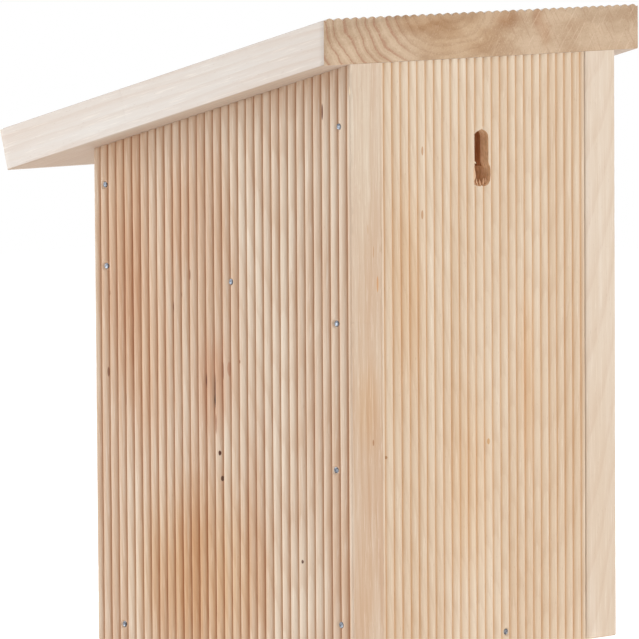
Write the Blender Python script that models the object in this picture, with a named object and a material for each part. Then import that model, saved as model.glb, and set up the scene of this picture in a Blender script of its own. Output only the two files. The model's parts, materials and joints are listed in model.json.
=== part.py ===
"""Wooden garden birdhouse of reeded boards, with a fixed slanted roof and a front door that swings out.

Metres, +Z up. The origin is at the middle of the footprint, on the surface that the birdhouse stands on.
The door is on the -Y side, the back panel with its keyhole hanger is on the +Y side.
"""

from math import acos, cos, pi, radians, sin, tan

import bmesh
import bpy
from mathutils import Vector

# ---------------------------------------------------------------- driving dimensions
BODY_WIDTH = 0.1522
BODY_DEPTH = 0.1467
REAR_HEIGHT = 0.2390
ROOF_SLOPE = radians(14.7)

BOARD = 0.0175
FLOOR_THICKNESS = 0.0155
FLOOR_CORNER_CLIP = 0.0080
HEADER_HEIGHT = 0.0311

RIB_PITCH = 0.0047
RIB_DEPTH = 0.00115
RIB_STEPS = 4

ROOF_THICKNESS = 0.0176
ROOF_LENGTH = 0.1897
ROOF_SIDE_OVERHANG = 0.0140

SEAT_GAP = 0.0003
DOOR_SIDE_GAP = 0.0010
DOOR_END_GAP = 0.0024
DOOR_SWEEP_GAP = 0.0006

PIVOT_SETBACK = 0.0064
DOOR_ABOVE_PIVOT = 0.0140
ENTRANCE_RADIUS = 0.0160
ENTRANCE_BELOW_PIVOT = 0.0266
ENTRANCE_SIDES = 32

BRACE_SIZE = 0.0180
BRACE_FROM_REAR = 0.0680
BRACE_BELOW_PIVOT = 0.0026

KEYHOLE_OFFSET = 0.0018
KEYHOLE_ENTRY_DROP = 0.0464
KEYHOLE_ENTRY_RADIUS = 0.0048
KEYHOLE_SLOT_DROP = 0.0287
KEYHOLE_SLOT_WIDTH = 0.0073
KEYHOLE_DEPTH = 0.0105
KEYHOLE_STEPS = 12

NAIL_HEAD_RADIUS = 0.00125
NAIL_HEAD_THICKNESS = 0.0009
NAIL_SHANK_RADIUS = 0.0008
NAIL_LENGTH = 0.0380
NAIL_POINT = 0.0030
NAIL_TIP_RADIUS = 0.0002
NAIL_SINK = 0.0005
NAIL_CLEARANCE = 0.0003
NAIL_SIDES = 8

REAR_NAIL_SETBACKS = (0.0072, 0.0094, 0.0088, 0.0069)
REAR_NAIL_BOTTOM = 0.0185
REAR_NAIL_TOP_DROP = 0.0246
REAR_NAIL_SHARES = (0.0, 0.311, 0.606, 1.0)
HEADER_NAIL_SETBACK = 0.0060
HEADER_NAIL_DROP = 0.0141
FLOOR_NAIL_FRONT_SETBACK = 0.0152
FLOOR_NAIL_REAR_SETBACK = 0.0400
BACK_FLOOR_NAIL_OFFSET = -0.0114
ROOF_NAIL_SETBACK = 0.0350
ROOF_BACK_NAIL_SPREAD = 0.0200
ROOF_BACK_NAIL_SETBACK = 0.0120

LATCH_HEIGHT = 0.0350
LATCH_WIRE_RADIUS = 0.0012
LATCH_BEND_RADIUS = 0.0026
LATCH_STANDOFF = 0.0034
LATCH_SHANK = 0.0150
LATCH_ARM = 0.0220
LATCH_SIDES = 10
LATCH_BEND_STEPS = 4

CUT_MARGIN = 0.0040
SMOOTH_UNDER = radians(40)

# ---------------------------------------------------------------- places that follow from them
ALONG_X = Vector((1, 0, 0))
ALONG_Y = Vector((0, 1, 0))
ALONG_Z = Vector((0, 0, 1))
ROOF_DOWN = Vector((0, -cos(ROOF_SLOPE), -sin(ROOF_SLOPE)))
ROOF_UP = Vector((0, -sin(ROOF_SLOPE), cos(ROOF_SLOPE)))

TOTAL_DEPTH = ROOF_LENGTH * cos(ROOF_SLOPE) + ROOF_THICKNESS * sin(ROOF_SLOPE)
REAR_Y = TOTAL_DEPTH / 2
FRONT_Y = REAR_Y - BODY_DEPTH
INNER_X = BODY_WIDTH / 2 - BOARD
ROOF_WIDTH = BODY_WIDTH + 2 * ROOF_SIDE_OVERHANG


def roof_underside(y):
    """Height of the roof's underside at depth y."""
    return REAR_HEIGHT - (REAR_Y - y) * tan(ROOF_SLOPE)


def roof_seat(y):
    """Height of a board's sloped top edge at depth y, one seat gap below the roof."""
    return roof_underside(y) - SEAT_GAP / cos(ROOF_SLOPE)


PANEL_WIDTH = 2 * (INNER_X - SEAT_GAP)
DOOR_WIDTH = 2 * (INNER_X - DOOR_SIDE_GAP)
HEADER_BOTTOM = roof_seat(FRONT_Y) - HEADER_HEIGHT
DOOR_TOP_SWEEP = (PIVOT_SETBACK**2 + DOOR_ABOVE_PIVOT**2) ** 0.5
PIVOT_Y = FRONT_Y + PIVOT_SETBACK
PIVOT_HEIGHT = HEADER_BOTTOM - DOOR_TOP_SWEEP - DOOR_SWEEP_GAP
DOOR_TOP = PIVOT_HEIGHT + DOOR_ABOVE_PIVOT
DOOR_BOTTOM = FLOOR_THICKNESS + DOOR_END_GAP
ENTRANCE_HEIGHT = PIVOT_HEIGHT - ENTRANCE_BELOW_PIVOT
BRACE_HEIGHT = PIVOT_HEIGHT - BRACE_BELOW_PIVOT
LATCH_X = INNER_X + BOARD / 2


# ---------------------------------------------------------------- materials
def make_material(name, colour, roughness, metallic=0.0):
    material = bpy.data.materials.new(name)
    material.use_nodes = True
    shader = material.node_tree.nodes["Principled BSDF"]
    shader.inputs["Base Color"].default_value = (*colour, 1.0)
    shader.inputs["Roughness"].default_value = roughness
    shader.inputs["Metallic"].default_value = metallic
    material.diffuse_color = (*colour, 1.0)
    return material


# ---------------------------------------------------------------- mesh helpers
def add_object(name, mesh_builder, material):
    """Turns a bmesh into a named object, with its faces pointing out."""
    bmesh.ops.recalc_face_normals(mesh_builder, faces=mesh_builder.faces)
    mesh = bpy.data.meshes.new(name)
    mesh_builder.to_mesh(mesh)
    mesh_builder.free()
    mesh.materials.append(material)
    made = bpy.data.objects.new(name, mesh)
    bpy.context.scene.collection.objects.link(made)
    return made


def loft(mesh_builder, rings):
    """Closed body through a row of rings with the same number of points, capped at both ends."""
    rows = [[mesh_builder.verts.new(point) for point in ring] for ring in rings]
    count = len(rows[0])
    for lower, upper in zip(rows, rows[1:]):
        for i in range(count):
            j = (i + 1) % count
            mesh_builder.faces.new((lower[i], lower[j], upper[j], upper[i]))
    mesh_builder.faces.new(rows[0])
    mesh_builder.faces.new(rows[-1])


def circle(centre, across, along, radius, sides):
    """Ring of points in the plane of two unit vectors."""
    ring = []
    for i in range(sides):
        angle = 2 * pi * i / sides
        ring.append(centre + radius * (cos(angle) * across + sin(angle) * along))
    return ring


def turned(mesh_builder, top, direction, stations, sides):
    """Closed round body along a direction. Stations are (distance from top, radius)."""
    across = direction.orthogonal().normalized()
    along = direction.cross(across)
    rings = []
    for distance, radius in stations:
        rings.append(circle(top + distance * direction, across, along, radius, sides))
    loft(mesh_builder, rings)


def smooth_round(made):
    made.data.shade_smooth()
    made.data.set_sharp_from_angle(angle=SMOOTH_UNDER)


def cut(board, builder):
    """Cuts the solids held in a bmesh out of a board."""
    cutter = add_object(board.name + "_cutter", builder, board.data.materials[0])
    cutter.hide_render = True
    cutter.display_type = "WIRE"
    modifier = board.modifiers.new("bores", "BOOLEAN")
    modifier.operation = "DIFFERENCE"
    modifier.solver = "EXACT"
    modifier.object = cutter


# ---------------------------------------------------------------- reeded boards
def reeded_edge(width):
    """Points (across, recess) of a reeded face: round-topped ribs between grooves, centred on the board."""
    radius = (RIB_PITCH**2 / 4 + RIB_DEPTH**2) / (2 * RIB_DEPTH)
    grooves = 2 * int((width / 2 - RIB_PITCH / 4) / RIB_PITCH) + 1
    step = RIB_PITCH / RIB_STEPS
    half_count = (grooves + 1) // 2 * RIB_STEPS
    points = []
    for i in range(-half_count, half_count + 1):
        across = i * step
        if abs(across) < width / 2 - step / 4:
            points.append(across)
    points = [-width / 2, *points, width / 2]
    edge = []
    for across in points:
        from_groove = abs(across) % RIB_PITCH
        from_crest = abs(from_groove - RIB_PITCH / 2)
        recess = radius - (radius**2 - from_crest**2) ** 0.5
        edge.append((across, recess))
    return edge


def upright_board(name, outline, bottom, material):
    """Board standing on end: a plan outline from its bottom height up to the sloped seat of the roof."""
    builder = bmesh.new()
    lower = [(x, y, bottom) for x, y in outline]
    upper = [(x, y, roof_seat(y)) for x, y in outline]
    loft(builder, [lower, upper])
    return add_object(name, builder, material)


def side_board(name, side, material):
    """side is +1 for the board at +X and -1 for the one at -X."""
    middle = (REAR_Y + FRONT_Y) / 2
    outline = []
    for across, recess in reeded_edge(BODY_DEPTH):
        outline.append((side * (BODY_WIDTH / 2 - recess), middle + across))
    outline += [(side * INNER_X, REAR_Y), (side * INNER_X, FRONT_Y)]
    return upright_board(name, outline, 0.0, material)


def back_panel(material):
    outline = [(across, REAR_Y - recess) for across, recess in reeded_edge(PANEL_WIDTH)]
    outline += [(PANEL_WIDTH / 2, REAR_Y - BOARD), (-PANEL_WIDTH / 2, REAR_Y - BOARD)]
    return upright_board("back_panel", outline, 0.0, material)


def front_outline(width):
    outline = [(across, FRONT_Y + recess) for across, recess in reeded_edge(width)]
    return outline + [(width / 2, FRONT_Y + BOARD), (-width / 2, FRONT_Y + BOARD)]


def header_strip(material):
    return upright_board("header_strip", front_outline(PANEL_WIDTH), HEADER_BOTTOM, material)


def front_door(material):
    """The door's origin is on its pivot axis."""
    builder = bmesh.new()
    outline = [(x, y - PIVOT_Y) for x, y in front_outline(DOOR_WIDTH)]
    rings = [[(x, y, z - PIVOT_HEIGHT) for x, y in outline] for z in (DOOR_BOTTOM, DOOR_TOP)]
    loft(builder, rings)
    door = add_object("front_door", builder, material)
    door.location = (0, PIVOT_Y, PIVOT_HEIGHT)
    return door


def floor_board(material):
    """Lies between the side boards and runs forward under the door; clipped corners let water drain."""
    half = INNER_X - SEAT_GAP
    rear = REAR_Y - BOARD - SEAT_GAP
    clip = FLOOR_CORNER_CLIP
    outline = [
        (-half + clip, FRONT_Y),
        (half - clip, FRONT_Y),
        (half, FRONT_Y + clip),
        (half, rear - clip),
        (half - clip, rear),
        (-half + clip, rear),
        (-half, rear - clip),
        (-half, FRONT_Y + clip),
    ]
    builder = bmesh.new()
    loft(builder, [[(x, y, z) for x, y in outline] for z in (0.0, FLOOR_THICKNESS)])
    return add_object("floor_board", builder, material)


def cross_brace(material):
    """Square batten between the side boards, above the nest space."""
    half = BRACE_SIZE / 2
    reach = INNER_X - SEAT_GAP
    middle = REAR_Y - BRACE_FROM_REAR
    section = [(-half, -half), (half, -half), (half, half), (-half, half)]
    builder = bmesh.new()
    ends = []
    for x in (-reach, reach):
        ends.append([(x, middle + dy, BRACE_HEIGHT + dz) for dy, dz in section])
    loft(builder, ends)
    return add_object("cross_brace", builder, material)


def roof_board(material):
    """Reeded on top along the slope, cut plumb and flush at the rear, cut square at the front."""
    start = Vector((0, REAR_Y, REAR_HEIGHT))
    section = [(across, ROOF_THICKNESS - recess) for across, recess in reeded_edge(ROOF_WIDTH)]
    section += [(ROOF_WIDTH / 2, 0.0), (-ROOF_WIDTH / 2, 0.0)]
    rear = []
    front = []
    for x, height in section:
        base = start + Vector((x, 0, 0)) + height * ROOF_UP
        rear.append(base - height * tan(ROOF_SLOPE) * ROOF_DOWN)
        front.append(base + ROOF_LENGTH * ROOF_DOWN)
    builder = bmesh.new()
    loft(builder, [rear, front])
    return add_object("roof_board", builder, material)


# ---------------------------------------------------------------- openings in the boards
def keyhole_outline():
    """Closed outline (across, up) about the entry's centre: the round entry with the slot above it."""
    half_slot = KEYHOLE_SLOT_WIDTH / 2
    slot_rise = KEYHOLE_ENTRY_DROP - KEYHOLE_SLOT_DROP - half_slot
    join = acos(half_slot / KEYHOLE_ENTRY_RADIUS)
    outline = []
    for i in range(KEYHOLE_STEPS + 1):
        angle = join - (pi + 2 * join) * i / KEYHOLE_STEPS
        outline.append((KEYHOLE_ENTRY_RADIUS * cos(angle), KEYHOLE_ENTRY_RADIUS * sin(angle)))
    for i in range(KEYHOLE_STEPS + 1):
        angle = pi - pi * i / KEYHOLE_STEPS
        outline.append((half_slot * cos(angle), slot_rise + half_slot * sin(angle)))
    return outline


def add_keyhole(builder):
    """Blind recess in the back panel: the screw head goes in at the entry, its neck slides up the slot."""
    height = REAR_HEIGHT - KEYHOLE_ENTRY_DROP
    rings = []
    for y in (REAR_Y - KEYHOLE_DEPTH, REAR_Y + CUT_MARGIN):
        rings.append([(KEYHOLE_OFFSET + x, y, height + z) for x, z in keyhole_outline()])
    loft(builder, rings)


def add_entrance(builder):
    """Round way in through the door."""
    start = Vector((0, FRONT_Y - CUT_MARGIN, ENTRANCE_HEIGHT))
    stations = [(0, ENTRANCE_RADIUS), (BOARD + 2 * CUT_MARGIN, ENTRANCE_RADIUS)]
    turned(builder, start, ALONG_Y, stations, ENTRANCE_SIDES)


def add_nail_bore(builder, top, direction):
    """Clearance round a whole nail, open above its head."""
    head = NAIL_HEAD_RADIUS + NAIL_CLEARANCE
    shank = NAIL_SHANK_RADIUS + NAIL_CLEARANCE
    shoulder = NAIL_HEAD_THICKNESS + NAIL_CLEARANCE
    stations = [(-CUT_MARGIN, head), (shoulder, head), (shoulder, shank)]
    stations.append((NAIL_LENGTH + NAIL_CLEARANCE, shank))
    turned(builder, top, direction, stations, NAIL_SIDES)


def add_latch_bore(builder):
    """Hole for the latch's shank in the front edge of its side board."""
    radius = LATCH_WIRE_RADIUS + NAIL_CLEARANCE
    top = Vector((LATCH_X, FRONT_Y, LATCH_HEIGHT))
    stations = [(-CUT_MARGIN, radius), (LATCH_SHANK + NAIL_CLEARANCE, radius)]
    turned(builder, top, ALONG_Y, stations, LATCH_SIDES)


# ---------------------------------------------------------------- hardware
def add_nail(name, top, direction, material):
    """Flat-headed nail, its head just below the ribs' crests."""
    stations = [
        (0, NAIL_HEAD_RADIUS),
        (NAIL_HEAD_THICKNESS, NAIL_HEAD_RADIUS),
        (NAIL_HEAD_THICKNESS, NAIL_SHANK_RADIUS),
        (NAIL_LENGTH - NAIL_POINT, NAIL_SHANK_RADIUS),
        (NAIL_LENGTH, NAIL_TIP_RADIUS),
    ]
    builder = bmesh.new()
    turned(builder, Vector((0, 0, 0)), direction, stations, NAIL_SIDES)
    nail = add_object(name, builder, material)
    nail.location = top
    smooth_round(nail)


def latch_hook(material):
    """Bent wire hook: shank in the side board's edge, arm upright when open. Its origin is on the shank."""
    arm_y = -LATCH_STANDOFF
    path = [(LATCH_SHANK, 0.0, ALONG_Y)]
    for i in range(LATCH_BEND_STEPS + 1):
        turn = pi / 2 * i / LATCH_BEND_STEPS
        y = arm_y + LATCH_BEND_RADIUS * (1 - sin(turn))
        z = LATCH_BEND_RADIUS * (1 - cos(turn))
        path.append((y, z, cos(turn) * ALONG_Y - sin(turn) * ALONG_Z))
    path.append((arm_y, LATCH_ARM, -ALONG_Z))
    rings = []
    for y, z, tangent in path:
        centre = Vector((0, y, z))
        upward = tangent.cross(ALONG_X)
        rings.append(circle(centre, ALONG_X, upward, LATCH_WIRE_RADIUS, LATCH_SIDES))
    builder = bmesh.new()
    loft(builder, rings)
    hook = add_object("latch_hook", builder, material)
    hook.location = (LATCH_X, FRONT_Y, LATCH_HEIGHT)
    smooth_round(hook)


def side_nails():
    """(name, distance from the rear, height, board that receives the point) of one side's nails."""
    span = REAR_HEIGHT - REAR_NAIL_TOP_DROP - REAR_NAIL_BOTTOM
    floor_middle = FLOOR_THICKNESS / 2
    nails = []
    for number, (share, setback) in enumerate(zip(REAR_NAIL_SHARES, REAR_NAIL_SETBACKS), 1):
        height = REAR_NAIL_BOTTOM + share * span
        nails.append((f"back_nail_{number}", setback, height, "back_panel"))
    header = BODY_DEPTH - HEADER_NAIL_SETBACK
    nails.append(("header_nail", header, roof_seat(FRONT_Y) - HEADER_NAIL_DROP, "header_strip"))
    nails.append(("pivot_nail", BODY_DEPTH - PIVOT_SETBACK, PIVOT_HEIGHT, "front_door"))
    nails.append(("brace_nail", BRACE_FROM_REAR, BRACE_HEIGHT, "cross_brace"))
    nails.append(("floor_nail_front", BODY_DEPTH - FLOOR_NAIL_FRONT_SETBACK, floor_middle, "floor_board"))
    nails.append(("floor_nail_rear", FLOOR_NAIL_REAR_SETBACK, floor_middle, "floor_board"))
    return nails


def all_nails():
    """(name, middle of the head's top, direction of the point, boards it passes) of every nail."""
    nails = []
    crest = BODY_WIDTH / 2 - NAIL_SINK
    for label, side in (("left", -1), ("right", 1)):
        for name, from_rear, height, receiver in side_nails():
            top = Vector((side * crest, REAR_Y - from_rear, height))
            nails.append((f"{name}_{label}", top, -side * ALONG_X, (f"side_board_{label}", receiver)))

    top = Vector((BACK_FLOOR_NAIL_OFFSET, REAR_Y - NAIL_SINK, FLOOR_THICKNESS / 2))
    nails.append(("back_floor_nail", top, -ALONG_Y, ("back_panel", "floor_board")))

    lift = (ROOF_THICKNESS - NAIL_SINK) * ROOF_UP
    seats = []
    for label, side in (("left", -1), ("right", 1)):
        receiver = f"side_board_{label}"
        seats.append((f"roof_nail_rear_{label}", side * LATCH_X, REAR_Y - ROOF_NAIL_SETBACK, receiver))
        seats.append((f"roof_nail_front_{label}", side * LATCH_X, FRONT_Y + ROOF_NAIL_SETBACK, receiver))
        back_y = REAR_Y - ROOF_BACK_NAIL_SETBACK
        seats.append((f"roof_nail_back_{label}", side * ROOF_BACK_NAIL_SPREAD, back_y, "back_panel"))
    for name, x, y, receiver in seats:
        top = Vector((x, y, roof_underside(y))) + lift
        nails.append((name, top, -ROOF_UP, ("roof_board", receiver)))
    return nails


# ---------------------------------------------------------------- assembly
def build():
    for existing in list(bpy.data.objects):
        bpy.data.objects.remove(existing, do_unlink=True)

    side_wood = make_material("side_wood", (0.80, 0.64, 0.50), 0.75)
    panel_wood = make_material("panel_wood", (0.78, 0.63, 0.46), 0.75)
    roof_wood = make_material("roof_wood", (0.83, 0.72, 0.60), 0.75)
    inner_wood = make_material("inner_wood", (0.72, 0.56, 0.40), 0.80)
    steel = make_material("galvanised_steel", (0.62, 0.63, 0.64), 0.38, 1.0)

    boards = [
        side_board("side_board_left", -1, side_wood),
        side_board("side_board_right", 1, side_wood),
        back_panel(panel_wood),
        header_strip(panel_wood),
        front_door(panel_wood),
        floor_board(inner_wood),
        cross_brace(inner_wood),
        roof_board(roof_wood),
    ]
    cutters = {board.name: bmesh.new() for board in boards}

    for name, top, direction, through in all_nails():
        add_nail(name, top, direction, steel)
        for board_name in through:
            add_nail_bore(cutters[board_name], top, direction)
    latch_hook(steel)

    add_latch_bore(cutters["side_board_right"])
    add_keyhole(cutters["back_panel"])
    add_entrance(cutters["front_door"])
    for board in boards:
        cut(board, cutters[board.name])


build()
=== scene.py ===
"""Looks of the reeded wooden birdhouse: ribbed boards, raw pale wood, galvanised nails, soft studio light."""

import json
from math import acos, cos, floor, pi, radians, sin, tan

import bmesh
import bpy
import numpy as np
from mathutils import Matrix, Vector


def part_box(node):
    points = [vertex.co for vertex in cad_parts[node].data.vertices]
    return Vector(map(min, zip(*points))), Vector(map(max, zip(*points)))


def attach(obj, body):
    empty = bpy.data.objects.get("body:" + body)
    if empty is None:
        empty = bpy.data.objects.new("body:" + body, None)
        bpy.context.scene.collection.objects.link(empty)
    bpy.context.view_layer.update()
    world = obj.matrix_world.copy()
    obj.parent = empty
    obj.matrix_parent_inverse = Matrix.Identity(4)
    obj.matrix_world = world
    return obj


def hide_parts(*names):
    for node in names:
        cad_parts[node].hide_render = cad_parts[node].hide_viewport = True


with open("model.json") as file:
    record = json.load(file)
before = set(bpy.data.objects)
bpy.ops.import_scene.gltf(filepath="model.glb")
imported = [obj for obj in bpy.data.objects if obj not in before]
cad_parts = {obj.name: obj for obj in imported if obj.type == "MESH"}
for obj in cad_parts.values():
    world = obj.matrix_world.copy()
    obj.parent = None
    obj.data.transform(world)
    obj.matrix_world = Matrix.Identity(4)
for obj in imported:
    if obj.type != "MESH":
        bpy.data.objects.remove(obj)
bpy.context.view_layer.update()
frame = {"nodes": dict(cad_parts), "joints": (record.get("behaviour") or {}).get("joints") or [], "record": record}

# ---------------------------------------------------------------- sizes shared with the frame, in metres
MM = 0.001
ROOF_SLOPE = radians(14.7)
BOARD = 17.5 * MM
RIB_PITCH = 4.7 * MM
RIB_DEPTH = 1.15 * MM
RIB_STEPS = 12
EDGE_SOFTENING = 0.35 * MM
SURFACE_PLAY = 0.06 * MM
SEAT_REACH = 0.27 * MM
SEATED_EDGE = 0.03 * MM

NAIL_HEAD_RADIUS = 1.25 * MM
NAIL_SINK = 0.5 * MM
NAIL_LENGTH = 38.0 * MM
HOOK_THREAD = 11 * MM
HOOK_THREAD_TURNS = 9
HOOK_BEND = 2.6 * MM
ENTRANCE_RADIUS = 16.0 * MM
ENTRANCE_DROP = 26.6 * MM
CUT_PAST_FACE = 4 * MM
KEYHOLE_ENTRY_DROP = 46.4 * MM
KEYHOLE_SLOT_DROP = 28.7 * MM
KEYHOLE_SLOT_WIDTH = 7.3 * MM
KEYHOLE_OFFSET = 1.8 * MM
KEYHOLE_DEPTH = 10.5 * MM
UNDERCUT_DEPTH = 4.6 * MM
UNDERCUT_REACH = 1.1 * MM

X_AXIS = Vector((1, 0, 0))
Y_AXIS = Vector((0, 1, 0))
Z_AXIS = Vector((0, 0, 1))
ROOF_DOWN = Vector((0, -cos(ROOF_SLOPE), -sin(ROOF_SLOPE)))
ROOF_UP = Vector((0, -sin(ROOF_SLOPE), cos(ROOF_SLOPE)))

SIDE_LOW, SIDE_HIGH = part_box("side_board_right")
REAR_Y = SIDE_HIGH.y
FRONT_Y = SIDE_LOW.y
HALF_BODY = SIDE_HIGH.x
BODY_MIDDLE_Y = (REAR_Y + FRONT_Y) / 2
SIDE_TOP = SIDE_HIGH.z
ROOF_REST = SIDE_TOP + 0.31 * MM
PIVOT_Z = frame["joints"][0]["pos_m"][2]
LATCH_Z = frame["joints"][1]["pos_m"][2]


def placed(name, data):
    """A new object of this data, in the scene."""
    made = bpy.data.objects.new(name, data)
    bpy.context.scene.collection.objects.link(made)
    return made


def body_of_node(node):
    for body, nodes in frame["record"]["behaviour"]["bodies"].items():
        if node in nodes:
            return body


# ---------------------------------------------------------------- smooth random variation
def lattice_noise(x, y, seed):
    """Smooth value noise from -1 to 1 on two arrays, the same each run."""

    def corner(i, j):
        mixed = np.sin(i * 127.1 + j * 311.7 + seed * 74.7) * 43758.5453
        return 2 * (mixed - np.floor(mixed)) - 1

    x0 = np.floor(x)
    y0 = np.floor(y)
    fx = x - x0
    fy = y - y0
    fx = fx * fx * (3 - 2 * fx)
    fy = fy * fy * (3 - 2 * fy)
    low = corner(x0, y0) * (1 - fx) + corner(x0 + 1, y0) * fx
    high = corner(x0, y0 + 1) * (1 - fx) + corner(x0 + 1, y0 + 1) * fx
    return low * (1 - fy) + high * fy


# ---------------------------------------------------------------- boards
def rib_recess(across):
    """Depth below the ribs' crests at a place across a reeded board."""
    radius = (RIB_PITCH**2 / 4 + RIB_DEPTH**2) / (2 * RIB_DEPTH)
    from_crest = np.abs(np.abs(across) % RIB_PITCH - RIB_PITCH / 2)
    return radius - np.sqrt(radius**2 - from_crest**2)


def board_outline(width, thickness, reeded):
    """Closed outline of (across, depth, on the show face) round a board, starting on its show face."""
    half = width / 2
    soft = EDGE_SOFTENING
    if reeded:
        step = RIB_PITCH / RIB_STEPS
        count = int((half - soft) / step)
        face = np.arange(-count, count + 1) * step
    else:
        face = np.linspace(-(half - soft), half - soft, max(8, int(width / (4 * MM))))
    recess = rib_recess(face) if reeded else 0 * face
    edge_recess = float(rib_recess(np.array([half]))[0]) if reeded else 0.0
    points = [(a, t, 1.0) for a, t in zip(face, recess)]
    depths = np.linspace(edge_recess + soft, thickness - soft, 9)
    points += [(half, t, 0.0) for t in depths]
    points += [(a, thickness, 0.0) for a in np.linspace(half - soft, soft - half, 25)]
    points += [(-half, t, 0.0) for t in depths[::-1]]
    return np.array(points)


def row_shares(length, step, extra):
    """Places of a board's cross rows, from 0 to 1, closer together near each place in extra."""
    shares = list(np.linspace(0, 1, int(length / step) + 1))
    for share in extra:
        shares += list(share + np.arange(-7, 8) * 0.3 * MM / length)
    shares = sorted(s for s in shares if 0 <= s <= 1)
    kept = [shares[0]]
    for share in shares[1:]:
        if share - kept[-1] > 0.12 * MM / length:
            kept.append(share)
    kept[-1] = 1.0
    return np.array(kept)


class Plank:
    """A board with a show face. Places on it are (across, depth below the crests, along)."""

    def __init__(self, origin, across, out, along, width, thickness, low, high):
        self.origin = np.array(origin, float)
        self.across = np.array(across, float)
        self.out = np.array(out, float)
        self.along = np.array(along, float)
        self.width = width
        self.thickness = thickness
        self.low = low
        self.high = high

    def places(self, point):
        offset = np.array(point, float) - self.origin
        return offset @ self.across, -(offset @ self.out), offset @ self.along


def plank_mesh(name, plank, nails, seed, reeded=True, row_step=3 * MM, chips=(),
               foot_soft=EDGE_SOFTENING, top_soft=EDGE_SOFTENING):
    """Builds a board. nails are head centres in its show face, and chips are torn places on its edges."""
    outline = board_outline(plank.width, plank.thickness, reeded)
    a0, t0, face = outline.T
    low = plank.low(a0, t0)
    high = plank.high(a0, t0)
    heads = [plank.places(nail) for nail in nails]
    length = float(np.mean(high - low))
    extra = []
    for a, _, along in heads:
        bottom = float(plank.low(np.array([a]), np.array([0.0]))[0])
        top = float(plank.high(np.array([a]), np.array([0.0]))[0])
        extra.append((along - bottom) / (top - bottom))
    shares = row_shares(length, row_step, extra)

    a = np.repeat(a0[None, :], len(shares), 0)
    t = np.repeat(t0[None, :], len(shares), 0)
    on_face = np.repeat(face[None, :], len(shares), 0)
    span = high - low
    along = low[None, :] + shares[:, None] * span[None, :]

    rib = np.round(a / RIB_PITCH)
    groove_share = np.clip(t / RIB_DEPTH, 0, 1) * on_face
    wander = lattice_noise(rib * 0.37, along / (26 * MM), seed)
    ripple = lattice_noise(a / (9 * MM), along / (70 * MM), seed + 5)
    fine = lattice_noise(a / (0.9 * MM), along / (5 * MM), seed + 9)
    worn = SURFACE_PLAY * (0.5 + 0.25 * ripple + 0.25 * fine)
    if reeded:
        t = t + on_face * (worn + 0.10 * MM * groove_share * lattice_noise(rib, along / (40 * MM), seed + 2))
        a = a + on_face * np.where(np.abs(a) < plank.width / 2 - RIB_PITCH, 0.07 * MM * wander, 0)
    else:
        t = t + on_face * worn

    for head_a, _, head_along in heads:
        away = np.hypot(a - head_a, along - head_along)
        wall = 1 - np.clip((away - NAIL_HEAD_RADIUS - 0.12 * MM) / (0.45 * MM), 0, 1)
        floor_depth = NAIL_SINK + 0.30 * MM
        t = np.where(on_face > 0.5, np.maximum(t, t + wall * (floor_depth - t)), t)

    corner = np.abs(np.abs(a) - plank.width / 2) < 1.2 * EDGE_SOFTENING
    ragged = np.clip(lattice_noise(along / (2.3 * MM), t / (3 * MM), seed + 21) - 0.25, 0, 1)
    a = a - np.sign(a) * corner * 0.22 * MM * ragged
    for chip_a, chip_along, reach, depth in chips:
        away = np.hypot(a - chip_a, (along - chip_along) / 2.2) / reach
        bite = np.clip(1 - away, 0, 1) ** 0.6 * (t < plank.thickness / 3)
        a = a - np.sign(chip_a) * bite * depth
        t = t + bite * depth * 0.7

    first_a = a[0] * (1 - foot_soft / (plank.width / 2))
    first_t = foot_soft + t[0] * (1 - 2 * foot_soft / plank.thickness)
    last_a = a[-1] * (1 - top_soft / (plank.width / 2))
    last_t = top_soft + t[-1] * (1 - 2 * top_soft / plank.thickness)
    rows = [(first_a, first_t, plank.low(first_a, first_t))]
    rows.append((a[0], t[0], plank.low(a[0], t[0]) + foot_soft))
    rows += [(a[i], t[i], along[i]) for i in range(1, len(shares) - 1)]
    rows.append((a[-1], t[-1], plank.high(a[-1], t[-1]) - top_soft))
    rows.append((last_a, last_t, plank.high(last_a, last_t)))

    points = []
    groove = []
    for row_a, row_t, row_along in rows:
        place = plank.origin + row_a[:, None] * plank.across - row_t[:, None] * plank.out
        points.append(place + row_along[:, None] * plank.along)
        groove.append(groove_share[0])
    columns = len(a0)
    count = len(rows)
    base = np.arange(columns)
    after = (base + 1) % columns
    faces = []
    for i in range(count - 1):
        quad = np.stack([base, after, after + columns, base + columns], 1) + i * columns
        faces.append(quad)
    quads = np.concatenate(faces)
    turned = np.dot(np.cross(plank.across, plank.along), plank.out) < 0
    if turned:
        quads = quads[:, ::-1]
    face_list = quads.tolist()
    first = list(range(columns))
    last = [(count - 1) * columns + i for i in range(columns)]
    caps = [first, last[::-1]] if turned else [first[::-1], last]
    mesh = bpy.data.meshes.new(name)
    mesh.from_pydata(np.concatenate(points).tolist(), [], face_list + caps)
    # The groove depth share also places the painted groove shade in the wood material.
    attribute = mesh.attributes.new("groove", "FLOAT", "POINT")
    attribute.data.foreach_set("value", np.concatenate(groove).astype(np.float32))
    material_index = np.zeros(len(mesh.polygons), np.int32)
    material_index[-2:] = 1
    material_index[:columns] = 1
    material_index[-2 - columns : -2] = 1
    mesh.polygons.foreach_set("material_index", material_index)
    mesh.shade_smooth()
    mesh.set_sharp_from_angle(angle=radians(50))
    mesh.update()
    return mesh


def add_piece(name, mesh, materials, replaced):
    piece = placed(name, mesh)
    for material in materials:
        mesh.materials.append(material)
    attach(piece, body_of_node(replaced))
    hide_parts(replaced)
    return piece


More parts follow.
